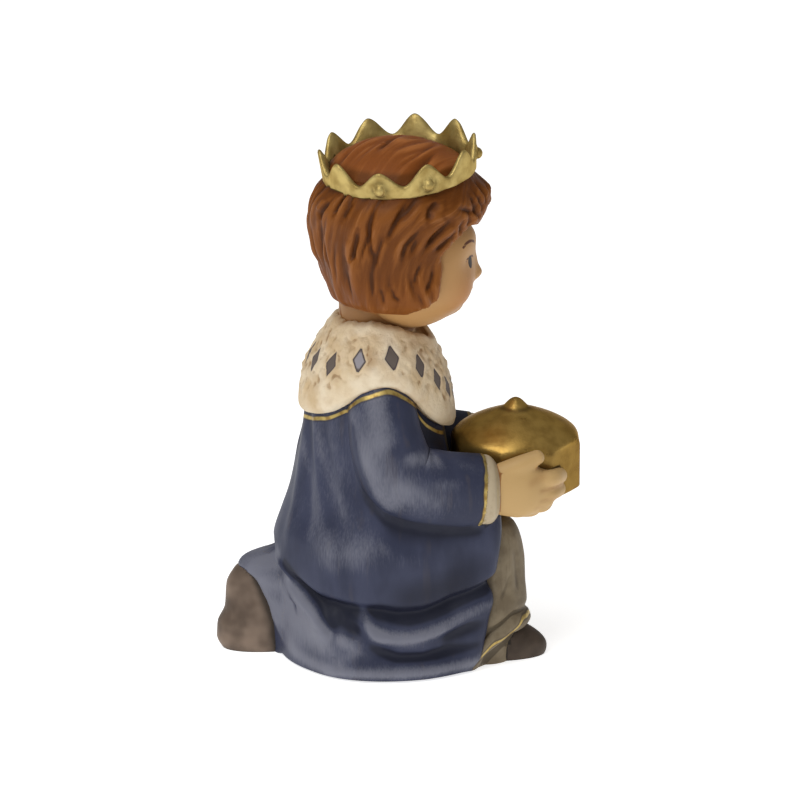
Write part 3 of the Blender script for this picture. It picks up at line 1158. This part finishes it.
class Paint:
    # one material: node() makes any node from its type, its settings and its sockets' values or links
    def __init__(self, name):
        self.material = bpy.data.materials.new(name)
        self.material.use_nodes = True
        self.tree = self.material.node_tree
        self.tree.nodes.clear()
        self.shader = self.tree.nodes.new("ShaderNodeBsdfPrincipled")
        output = self.tree.nodes.new("ShaderNodeOutputMaterial")
        self.tree.links.new(self.shader.outputs[0], output.inputs[0])
        self.place = self.node("ShaderNodeTexCoord", output="Object")

    def node(self, kind, settings=None, inputs=None, output=0):
        made = self.tree.nodes.new(kind)
        for name, value in (settings or {}).items():
            setattr(made, name, value)
        for key, value in (inputs or {}).items():
            if isinstance(value, Value):
                self.tree.links.new(value.socket, made.inputs[key])
            else:
                made.inputs[key].default_value = value
        return Value(self, made.outputs[output])

    def mark(self, name):
        return self.node("ShaderNodeAttribute", {"attribute_name": name}, output="Fac")

    def stretched(self, sideways, upwards):
        # the grain is long where the number is small
        scale = (sideways, sideways, upwards)
        return self.node("ShaderNodeMapping", {}, {"Vector": self.place, "Scale": scale})

    def noise(self, size, detail, roughness=0.5, vector=None, distortion=0.0):
        # size is the noise's grain in millimetres
        return self.node("ShaderNodeTexNoise", {}, {
            "Vector": vector or self.place, "Scale": 1000.0 / size, "Detail": detail,
            "Roughness": roughness, "Distortion": distortion})

    def ramped(self, value, low, high):
        return self.node("ShaderNodeMapRange", {"interpolation_type": "SMOOTHSTEP"},
                         {"Value": value, "From Min": low, "From Max": high})

    def below(self, value, low, high):
        # full under the low value and nothing over the high one
        return 1 - self.ramped(value, low, high)

    def mixed(self, share, a, b):
        return self.node("ShaderNodeMix", {"data_type": "RGBA"}, {0: share, 6: a, 7: b}, output=2)

    def finish(self, base, roughness, metallic=0.0, gloss=0.22, bump=None, **constants):
        # bump is a value and its height in millimetres; constants are named as the shader's sockets
        values = {"Base Color": base, "Roughness": roughness, "Metallic": metallic,
                  "Specular IOR Level": gloss, **constants}
        for name, value in values.items():
            if isinstance(value, Value):
                self.tree.links.new(value.socket, self.shader.inputs[name])
            else:
                self.shader.inputs[name].default_value = value
        if bump:
            relief, height = bump
            inputs = {"Height": relief, "Distance": height * 0.001, "Strength": 1.0}
            normal = self.node("ShaderNodeBump", {}, inputs)
            self.tree.links.new(normal.socket, self.shader.inputs["Normal"])
        return self.material


def colour(red, green, blue):
    # screen values from 0 to 255 to the linear ones that the shader takes
    shares = [value / 255 for value in (red, green, blue)]
    linear = [v / 12.92 if v <= 0.04045 else ((v + 0.055) / 1.055) ** 2.4 for v in shares]
    return (*linear, 1.0)


paints = {
    "cloak": {"deep": colour(24, 26, 40), "mid": colour(46, 50, 70), "cool": colour(58, 62, 83),
              "brushed": colour(124, 125, 136), "brown": colour(76, 70, 72)},
    "tunic": {"deep": colour(62, 52, 38), "mid": colour(109, 96, 76), "light": colour(128, 115, 93)},
    "shoe": {"deep": colour(36, 30, 24), "mid": colour(86, 72, 61), "light": colour(130, 112, 97)},
    "fur": {"wash": colour(138, 98, 54), "shade": colour(180, 146, 98), "mid": colour(214, 190, 152),
            "light": colour(231, 216, 190), "diamond": colour(100, 90, 84),
            "diamondEdge": colour(78, 69, 70), "paleDiamond": colour(156, 152, 158)},
    "cuff": {"mid": colour(182, 166, 138), "deep": colour(140, 120, 96)},
    "skin": {"mid": colour(192, 158, 106), "deep": colour(140, 92, 50), "blush": colour(172, 92, 30),
             "lip": colour(172, 72, 56), "eye": colour(40, 28, 22), "brow": colour(92, 50, 26)},
    "hair": {"deep": colour(64, 33, 10), "mid": colour(102, 55, 14), "light": colour(128, 75, 29),
             "domeMid": colour(132, 72, 26), "domeLight": colour(168, 102, 50),
             "nape": colour(124, 68, 18), "worn": colour(172, 116, 70),
             "domeFrom": (92.2, 93.2), "napeUpTo": (67, 78)},
    "gold": {"deep": colour(72, 56, 22), "mid": colour(156, 132, 76), "light": colour(198, 176, 112),
             "sheen": colour(230, 206, 150)},
    "boxGold": {"deep": colour(88, 68, 36), "mid": colour(154, 122, 62), "light": colour(182, 148, 80),
                "sheen": colour(216, 182, 116)},
    # the gold line's half width, soft edge, unevenness and where the dark beside it ends, in millimetres
    "line": {"deep": colour(142, 114, 60), "mid": colour(188, 164, 98), "beside": colour(38, 34, 36),
             "half": 0.32, "edge": 0.14, "uneven": 0.14, "besideTo": (0.1, 0.5)},
}


def goldLined(p, base, shade=0.55):
    # gold line paint: its mask, and the base colour with the line over it and a dark edge beside it
    c, lined = paints["line"], p.mark("lined")
    trim = p.mark("trim").worked("MINIMUM", p.mark("trim"), lined.worked("ABSOLUTE", lined) - c["half"])
    trim = trim + (p.noise(1.6, 2) - 0.5) * c["uneven"]
    mask = p.below(trim, -c["edge"], c["edge"])
    worn = p.mixed(p.ramped(p.noise(1.3, 3), 0.3, 0.6), c["deep"], c["mid"])
    shaded = p.mixed(p.below(trim, *c["besideTo"]) * shade, base, c["beside"])
    return mask, p.mixed(mask, shaded, worn)


def paintCloak():
    p, c = Paint("cloakBlue"), paints["cloak"]
    ridge, fold, tone = p.mark("ridge"), p.mark("fold"), p.mark("tone")
    streaks = p.noise(0.28, 3, 0.6, vector=p.stretched(1, 0.13))
    broad = p.noise(7.0, 3, 0.55, vector=p.stretched(1, 0.45))
    patch = p.noise(2.6, 4, 0.65, vector=p.stretched(1, 0.4))
    rusty = p.noise(3.4, 2, vector=p.stretched(1.6, 0.14))
    base = p.mixed(p.ramped(broad, 0.35, 0.65), c["mid"], c["cool"])
    base = p.mixed(p.ramped(rusty, 0.6, 0.74) * 0.3, base, c["brown"])
    lit = tone * 1.15 + ridge * 0.5 + (patch - 0.5) * 0.4 + (streaks - 0.5) * 0.9 + (broad - 0.5) * 0.5
    base = p.mixed(p.ramped(lit, -0.05, 1.35) * 0.74, base, c["brushed"])
    low = p.ramped(0 - tone - fold * 0.3 - ridge * 0.8, 0.05, 0.9)
    base = p.mixed(low * 0.85, base, c["deep"])
    mask, base = goldLined(p, base)
    p.finish(base, roughness=0.5 + (patch - 0.5) * 0.2 - mask * 0.12, metallic=mask * 0.8,
             bump=(streaks * 0.5 + p.noise(0.5, 3) * 0.5, 0.03))


def paintTunic():
    p, c = Paint("tunicGrey"), paints["tunic"]
    streaks = p.noise(0.5, 3, 0.6, vector=p.stretched(1, 0.12))
    base = p.mixed(p.ramped(p.noise(3.4, 3), 0.35, 0.65), c["mid"], c["light"])
    base = p.mixed(p.ramped(streaks, 0.5, 0.75) * 0.2, base, c["deep"])
    stands = p.mark("fold") + p.mark("ridge") * 1.4 + p.mark("tone") * 0.4
    base = p.mixed(p.below(stands, -0.3, 0.04) * 0.7, base, c["deep"])
    mask, base = goldLined(p, base)
    p.finish(base, roughness=0.56 - mask * 0.15, metallic=mask * 0.8, bump=(p.noise(0.5, 3), 0.03))


def paintShoes():
    p, c = Paint("shoeBrown"), paints["shoe"]
    base = p.mixed(p.ramped(p.noise(5.5, 2), 0.3, 0.7), c["mid"], c["light"])
    streaks = p.noise(1.4, 3, vector=p.stretched(1, 0.4))
    base = p.mixed(p.ramped(streaks, 0.5, 0.8) * 0.12, base, c["deep"])
    base = p.mixed(p.below(p.mark("fold"), -0.4, 0.1) * 0.8, base, c["deep"])
    base = p.mixed(0 - p.mark("tone"), base, c["deep"])
    p.finish(base, roughness=0.55, bump=(p.noise(0.6, 3), 0.04))


def paintFur():
    p, c = Paint("furCream"), paints["fur"]
    mark, tone = p.mark("mark"), p.mark("tone")
    off = p.ramped(mark, 0.0, 0.5)
    relief = p.noise(0.65, 4, 0.6, distortion=0.6)
    washed = p.ramped(p.noise(5.2, 3, 0.6), 0.42, 0.66)
    stands = p.mark("ridge") * 1.3 + p.mark("fold") * 0.5 + (relief - 0.5) * 0.3
    hollow = p.below(stands, -0.26, 0.06)
    base = p.mixed(0.15 + p.ramped(p.noise(6.5, 2), 0.35, 0.7) * 0.75, c["mid"], c["light"])
    base = p.mixed(washed * off * 0.4, base, c["shade"])
    base = p.mixed(hollow * (0.32 + washed * 0.38) * off, base, c["wash"])
    base = p.mixed((0 - tone) * off * (0.45 + hollow * 0.45), base, c["wash"])
    inside = p.below(mark, -0.05, 0.06)
    base = p.mixed(p.below(mark, 0.08, 0.3) * (1 - inside) * 0.25, base, c["wash"])
    diamond = p.mixed(p.ramped(mark, -0.32, -0.12), c["diamond"], c["diamondEdge"])
    diamond = p.mixed(tone * p.ramped(0 - mark, 0.2, 0.45) * 0.8, diamond, c["paleDiamond"])
    base = p.mixed(inside, base, diamond)
    p.finish(base, roughness=0.62, gloss=0.2, bump=(relief * off, 0.2))


def paintCuff():
    p, c = Paint("cuffCream"), paints["cuff"]
    base = p.mixed(p.ramped(p.noise(1.6, 3), 0.5, 0.75) * 0.3, c["mid"], c["deep"])
    base = p.mixed(p.below(p.mark("fold"), -0.3, 0.0) * 0.6, base, c["deep"])
    mask, base = goldLined(p, base, shade=0.15)
    p.finish(base, roughness=0.5 - mask * 0.1, metallic=mask * 0.85, bump=(p.noise(0.6, 3), 0.03))


def paintSkin():
    p, c = Paint("skin"), paints["skin"]
    base = p.mixed(p.mark("warm") * 0.55, c["mid"], c["blush"])
    base = p.mixed(p.below(p.mark("fold") * 0.7 + p.mark("ridge") * 1.6, -0.36, 0.0) * 0.8, base, c["deep"])
    base = p.mixed((0 - p.mark("tone")) * 0.9, base, c["deep"])
    base = p.mixed(p.below(p.mark("lips"), -0.12, 0.1) * 0.75, base, c["lip"])
    base = p.mixed(p.below(p.mark("line"), -0.08, 0.1), base, c["brow"])
    base = p.mixed(p.below(p.mark("mark"), -0.05, 0.08), base, c["eye"])
    p.finish(base, roughness=0.48, bump=(p.noise(0.8, 3), 0.02))


def paintHair():
    p, c = Paint("hairBrown"), paints["hair"]
    height = p.node("ShaderNodeSeparateXYZ", {}, {"Vector": p.place}, output="Z") * 1000
    combed = p.node("ShaderNodeCombineXYZ", {}, {"X": p.mark("combed") * 0.001, "Y": height * 0.00014})
    strands, tufts = p.noise(0.9, 3, 0.6, vector=combed), p.noise(2.6, 2, vector=combed)
    stands = p.mark("fold") * 0.6 + p.mark("ridge") * 1.6
    dome = p.ramped(height, *c["domeFrom"])
    mid, light = p.mixed(dome, c["mid"], c["domeMid"]), p.mixed(dome, c["light"], c["domeLight"])
    base = p.mixed(p.ramped(stands * 1.3 + (strands - 0.5) * 1.2 + (tufts - 0.5), 0.0, 0.6), mid, light)
    base = p.mixed(p.below(height, *c["napeUpTo"]) * 0.55, base, c["nape"])
    low = p.below(stands + (strands - 0.5) * 0.7 + (tufts - 0.5) * 0.5, -0.4, 0.0)
    base = p.mixed(low * (0.76 - dome * 0.2), base, c["deep"])
    base = p.mixed(p.ramped(strands + stands * 0.4, 0.7, 0.86) * 0.28, base, c["worn"])
    p.finish(base, roughness=0.5, gloss=0.14, bump=(strands + tufts, 0.16))


def paintGold(name, c, roughness):
    p = Paint(name)
    patch = p.noise(2.6, 3)
    base = p.mixed(p.ramped(patch, 0.3, 0.7), c["mid"], c["light"])
    base = p.mixed(p.below(p.mark("fold") + p.mark("ridge") * 2.2, -0.34, 0.04) * 0.85, base, c["deep"])
    base = p.mixed(0 - p.mark("tone"), base, c["deep"])
    p.finish(base, roughness=roughness + (patch - 0.5) * 0.14, metallic=0.7, gloss=0.4,
             bump=(p.noise(0.35, 3, 0.6) + patch, 0.05), **{"Specular Tint": c["sheen"]})


for mixPaint in (paintCloak, paintTunic, paintShoes, paintFur, paintCuff, paintSkin, paintHair):
    mixPaint()
paintGold("crownGold", paints["gold"], roughness=0.46)
paintGold("boxGold", paints["boxGold"], roughness=0.3)
print("paints mixed")


# fusing and firing
firing = {
    "seamRounds": 6,  # how many vertices deep marks are carried into a joint
    "collarFrom": 40,  # joints above this height are under the collar and take its gold line
    "jointWash": 0.8,  # dark wash where two colours meet
    "fillRounds": 7, "fillFade": 0.92, "fillStrength": 1.4,  # how far slip fills a joint of one colour
    # rounds of smoothing: of the slip, and of what fine ridges and broad folds stand out from
    "slip": 30, "ridge": 10, "fold": 90,
}


def chosen(shape):
    bpy.ops.object.select_all(action="DESELECT")
    shape.select_set(True)
    bpy.context.view_layer.objects.active = shape


def joinTo(body, piece, operation="UNION"):
    chosen(body)
    joint = body.modifiers.new("luting", "BOOLEAN")
    joint.operation, joint.solver, joint.object = operation, "MANIFOLD", piece
    bpy.ops.object.modifier_apply(modifier=joint.name)
    bpy.data.objects.remove(piece)
    return body


def fuse(pieces):
    # neighbours are joined in pairs, so that most joints are between small meshes
    while len(pieces) > 1:
        pairs = [pieces[i:i + 2] for i in range(0, len(pieces), 2)]
        pieces = [joinTo(*pair) if len(pair) == 2 else pair[0] for pair in pairs]
    return pieces[0]


def neighbours(mesh):
    # both ends of every edge, the end opposite each of them, and how many edges each vertex has
    ends = readOut(mesh.edges, "vertices", np.int32, 2)
    both, other = np.concatenate([ends[::2], ends[1::2]]), np.concatenate([ends[1::2], ends[::2]])
    return both, other, np.maximum(np.bincount(both, minlength=len(mesh.vertices)), 1)


def evened(mesh, rounds):
    # where the vertices are once the mesh is smoothed that many times
    both, other, degree = neighbours(mesh)
    even = coordinates(mesh)
    for _ in range(rounds):
        total = [np.bincount(both, weights=even[other, k], minlength=len(even)) for k in range(3)]
        even = 0.5 * even + 0.5 * np.stack(total, axis=1) / degree[:, None]
    return even


def standsOut(mesh, rounds):
    # how far each vertex stands out from the smoothed mesh, in millimetres
    normals = readOut(mesh.vertices, "normal", each=3).reshape(-1, 3)
    return ((coordinates(mesh) - evened(mesh, rounds)) * normals).sum(axis=1) * 1000


def fromNeighbours(values, both, other, nearest):
    # the highest of the neighbours' values, or the one that is nearest to nought
    low, high = np.full(len(values), 99.0, np.float32), np.full(len(values), -99.0, np.float32)
    np.minimum.at(low, both, values[other])
    np.maximum.at(high, both, values[other])
    return np.where(np.abs(low) < np.abs(high), low, high) if nearest else high


def markSeams(mesh):
    # a joint leaves new vertices whose marks are all nought: they take them from their neighbours,
    # a distance from the one that is nearest to a painted line
    both, other, _ = neighbours(mesh)
    marks = {name: readOut(mesh.attributes[name].data, "value") for name in figure["marks"]}
    distances = [name for name, unset in figure["marks"].items() if unset > 0]
    seam = np.all([marks[name] == 0 for name in distances], axis=0)
    unset = seam.copy()
    for _ in range(firing["seamRounds"]):
        known = ~unset[other]
        ready = np.zeros(len(seam), bool)
        ready[both[known]] = True
        ready &= unset
        for name, values in marks.items():
            found = fromNeighbours(values, both[known], other[known], name in distances)
            values[ready] = found[ready]
        unset &= ~ready
    points = coordinates(mesh) * 1000 - figure["shift"]
    underCollar = seam & (points[:, 2] > firing["collarFrom"])
    marks["lined"][underCollar] = neckline(points)[underCollar]
    for name, values in marks.items():
        values[unset] = figure["marks"][name]
        addMark(mesh, name, values)
    return seam


def paintsAround(mesh):
    # the first and the last paint among the faces round each vertex
    corner = readOut(mesh.loops, "vertex_index", np.int32)
    corners = readOut(mesh.polygons, "loop_total", np.int32)
    paint = np.repeat(readOut(mesh.polygons, "material_index", np.int32), corners).astype(float)
    first, last = np.full(len(mesh.vertices), 99.0), np.full(len(mesh.vertices), -1.0)
    np.minimum.at(first, corner, paint)
    np.maximum.at(last, corner, paint)
    return first, last


def soften(mesh, seam):
    # slip fills the joints between pieces of one colour, and dark wash lies where two colours meet
    first, last = paintsAround(mesh)
    tone = readOut(mesh.attributes["tone"].data, "value")
    addMark(mesh, "tone", tone - firing["jointWash"] * (first != last))
    both, other, degree = neighbours(mesh)
    share = (seam & (first == last)).astype(float)
    for _ in range(firing["fillRounds"]):
        spread = np.bincount(both, weights=share[other], minlength=len(share)) / degree
        share = np.maximum(share, firing["fillFade"] * spread)
    share = np.clip(share * firing["fillStrength"], 0, 1) * (first == last)
    co = coordinates(mesh)
    moveTo(mesh, co + (evened(mesh, firing["slip"]) - co) * share[:, None])


for makePiece in (makeCloak, makeTail, makeTunic, makeArms):
    makePiece()
print("cloak, tunic and arms formed")
for makePiece in (makeCollar, makeHead, makeHair, makeCrown, makeBox, makeShoes):
    makePiece()
print("collar, head, crown, box and shoes formed:", len(clay), "pieces")

king = fuse(clay)
bpy.ops.mesh.primitive_cube_add(size=0.2, location=(0, 0, -0.1))
king = joinTo(king, bpy.context.object, "DIFFERENCE")
king.name = king.data.name = "figurinePainted"
chosen(king)
bpy.ops.object.shade_smooth()
seam = markSeams(king.data)
print("joints filled at", int(seam.sum()), "vertices")
soften(king.data, seam)
for mark in ("ridge", "fold"):
    addMark(king.data, mark, standsOut(king.data, firing[mark]))
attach(king, "root")
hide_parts("figurine")
king.data.calc_loop_triangles()
print("one casting fused:", len(king.data.loop_triangles), "triangles")


# studio
studio = {
    "azimuth": 266.0, "elevation": 18.5, "distance": 1.1, "lens": 275.0, "sensor": 36, "clipEnd": 50,
    "target": (0.0, 0.000026, 0.04726),
    # azimuth and height angle of each light, its distance and size in metres, and its power in watts
    "lights": {"keyLight": (228, 50, 0.75, 0.45, 2.4), "fillLight": (300, 26, 0.8, 0.5, 0.25),
               "topLight": (200, 78, 0.8, 0.5, 1.2)},
    "sky": 0.25,
    "floorSize": 8, "floorWhite": (0.92, 0.92, 0.92, 1), "floorGlow": 0.7,
    "white": (1, 1, 1, 1),
}


def direction(azimuth, elevation):
    a, e = math.radians(azimuth), math.radians(elevation)
    return Vector((math.sin(a) * math.cos(e), -math.cos(a) * math.cos(e), math.sin(e)))


def aimed(name, data, azimuth, elevation, distance):
    # a camera or light that looks at the figurine from that side and height
    target, towards = Vector(studio["target"]), direction(azimuth, elevation)
    aimedObject = bpy.data.objects.new(name, data)
    aimedObject.location = target + towards * distance
    aimedObject.rotation_euler = (-towards).to_track_quat("-Z", "Y").to_euler()
    bpy.context.collection.objects.link(aimedObject)
    return aimedObject


lens = bpy.data.cameras.new("camera")
lens.lens, lens.sensor_width, lens.clip_end = studio["lens"], studio["sensor"], studio["clipEnd"]
bpy.context.scene.camera = aimed("camera", lens, studio["azimuth"], studio["elevation"], studio["distance"])

for name, (azimuth, elevation, distance, size, power) in studio["lights"].items():
    lamp = bpy.data.lights.new(name, "AREA")
    lamp.size, lamp.energy = size, power
    aimed(name, lamp, azimuth, elevation, distance)

sky = bpy.data.worlds.new("studioSky")
sky.use_nodes = True
sky.node_tree.nodes["Background"].inputs["Color"].default_value = studio["white"]
sky.node_tree.nodes["Background"].inputs["Strength"].default_value = studio["sky"]
bpy.context.scene.world = sky
bpy.context.scene.view_settings.view_transform = "Standard"

bpy.ops.object.select_all(action="DESELECT")
bpy.ops.mesh.primitive_plane_add(size=studio["floorSize"], location=(0, 0, 0))
floor = bpy.context.object
floor.name = floor.data.name = "floor"
glow = {"Emission Color": studio["white"], "Emission Strength": studio["floorGlow"]}
floorPaint = Paint("floorWhite").finish(studio["floorWhite"], roughness=0.9, gloss=0.5, **glow)
floor.data.materials.append(floorPaint)
print("studio set")
